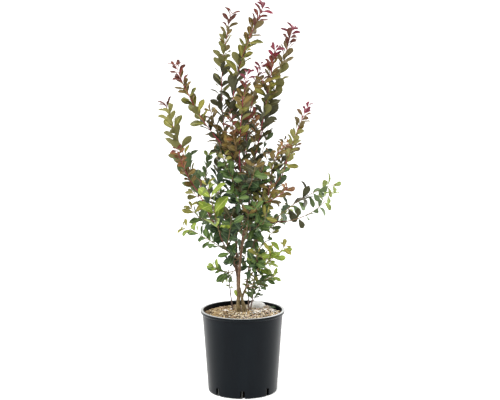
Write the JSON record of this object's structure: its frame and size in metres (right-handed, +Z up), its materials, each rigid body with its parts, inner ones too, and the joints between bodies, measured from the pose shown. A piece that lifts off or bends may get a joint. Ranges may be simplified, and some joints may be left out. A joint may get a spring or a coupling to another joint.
{
  "type": "potted crape myrtle",
  "caption": "Young flowering shrub with slender upright stems and small paired leaves, red at the tips, growing in a tall round tapered nursery pot filled with potting mix.",
  "frame": {"origin": "centre of the pot's flat underside, on the surface it stands on", "axes": "+Z up, -Y towards the front that the picture shows, +X to that view's right"},
  "size_m": [0.5214, 0.4061, 1.1094],
  "materials": {
    "pot_plastic": "satin charcoal-black moulded plastic",
    "potting_mix": "loose coarse bark chips, tan, cream and brown",
    "bark": "thin smooth bark, tan at the foot and reddish brown above",
    "foliage_red": "young crimson leaves, satin",
    "foliage_bronze": "bronze leaves, satin",
    "foliage_olive": "olive leaves, satin",
    "foliage_green": "full-grown green leaves, satin",
    "foliage_lime": "light yellow-green leaves, satin"
  },
  "bodies": {
    "root": {"pot": "pot_plastic", "potting_mix": "potting_mix", "trunk_middle": "bark", "trunk_right": "bark", "trunk_back": "bark", "trunk_left": "bark", "bough_top_middle": "bark", "bough_top_right": "bark", "bough_top_left": "bark", "bough_upper_left": "bark", "bough_upper_right": "bark", "bough_far_left": "bark", "bough_right": "bark", "bough_front_left": "bark", "bough_back": "bark", "bough_back_left": "bark", "bough_back_right": "bark", "foliage_top_middle": "foliage_bronze", "foliage_top_left": "foliage_bronze", "foliage_top_right": "foliage_bronze", "foliage_inner_right": "foliage_red", "foliage_inner_back": "foliage_red", "foliage_inner_front": "foliage_red", "foliage_upper_left": "foliage_bronze", "foliage_far_left": "foliage_olive", "foliage_left_side": "foliage_bronze", "foliage_left_back": "foliage_green", "foliage_front_left": "foliage_lime", "foliage_lower_left": "foliage_olive", "foliage_low_left": "foliage_green", "foliage_right": "foliage_green", "foliage_right_upper": "foliage_green", "foliage_middle_right": "foliage_olive", "foliage_upper_right": "foliage_olive", "foliage_upper_right_inner": "foliage_bronze", "foliage_low_right": "foliage_lime", "foliage_foot_right": "foliage_lime", "foliage_middle_top": "foliage_olive", "foliage_middle_high_right": "foliage_green", "foliage_middle_high_left": "foliage_green", "foliage_front_middle": "foliage_bronze", "foliage_middle": "foliage_green", "foliage_middle_right_front": "foliage_green", "foliage_middle_left": "foliage_green", "foliage_front": "foliage_green", "foliage_front_right": "foliage_green", "foliage_front_middle_left": "foliage_green", "foliage_lower_right": "foliage_green", "foliage_lower_front": "foliage_green", "foliage_low_front": "foliage_green", "foliage_back": "foliage_olive", "foliage_back_low": "foliage_green", "foliage_back_left": "foliage_olive", "foliage_back_left_low": "foliage_green", "foliage_back_right": "foliage_olive", "foliage_back_right_low": "foliage_green", "foliage_low_back": "foliage_green", "sucker_left": "foliage_lime", "sucker_right": "foliage_lime"}
  },
  "joints": []
}
